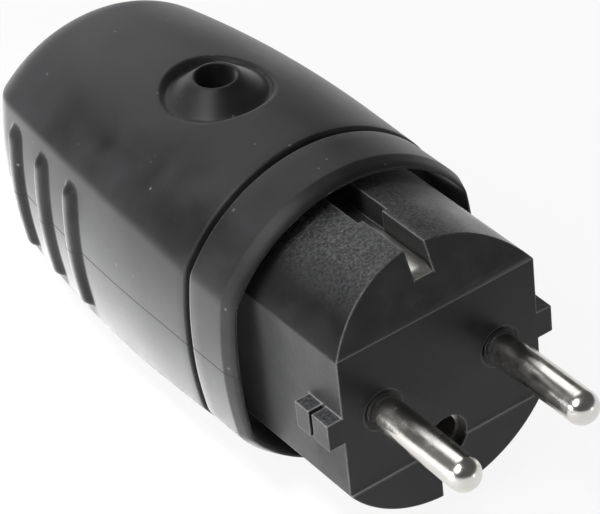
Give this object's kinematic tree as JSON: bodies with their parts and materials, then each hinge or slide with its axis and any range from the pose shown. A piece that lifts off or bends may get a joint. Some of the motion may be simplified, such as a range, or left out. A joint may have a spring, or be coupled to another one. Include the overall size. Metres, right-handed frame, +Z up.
{
  "type": "type f plug",
  "caption": "Rewireable earthed mains plug: a tapering moulded rubber hood with grip ribs and a collar, a hard insert with round pins, earth strips and an earth hole.",
  "frame": {"origin": "centre of the contact face, on the line between the pins", "axes": "the pins point to -Y, the cable leaves to +Y, +X runs from pin_left to pin_right, +Z is up with the earth hole below"},
  "size_m": [0.0418, 0.1035, 0.0447],
  "materials": {
    "hood_rubber": "satin, slightly dusty",
    "carrier_plastic": "satin",
    "nickel": "nickel plated, turned",
    "nickel_strip": "nickel plated, rolled",
    "screw_steel": "zinc plated",
    "clamp_plastic": "moulded"
  },
  "bodies": {
    "root": {"rubber_hood": "hood_rubber", "contact_carrier": "carrier_plastic", "pin_left": "nickel", "pin_right": "nickel", "earth_bracket": "nickel_strip", "earth_sleeve": "nickel_strip", "pin_screw_left": "screw_steel", "pin_screw_right": "screw_steel", "earth_screw": "screw_steel", "earth_washer": "screw_steel", "cord_clamp": "clamp_plastic", "cord_clamp_screw_left": "screw_steel", "cord_clamp_screw_right": "screw_steel", "hood_screw": "screw_steel"}
  },
  "joints": []
}
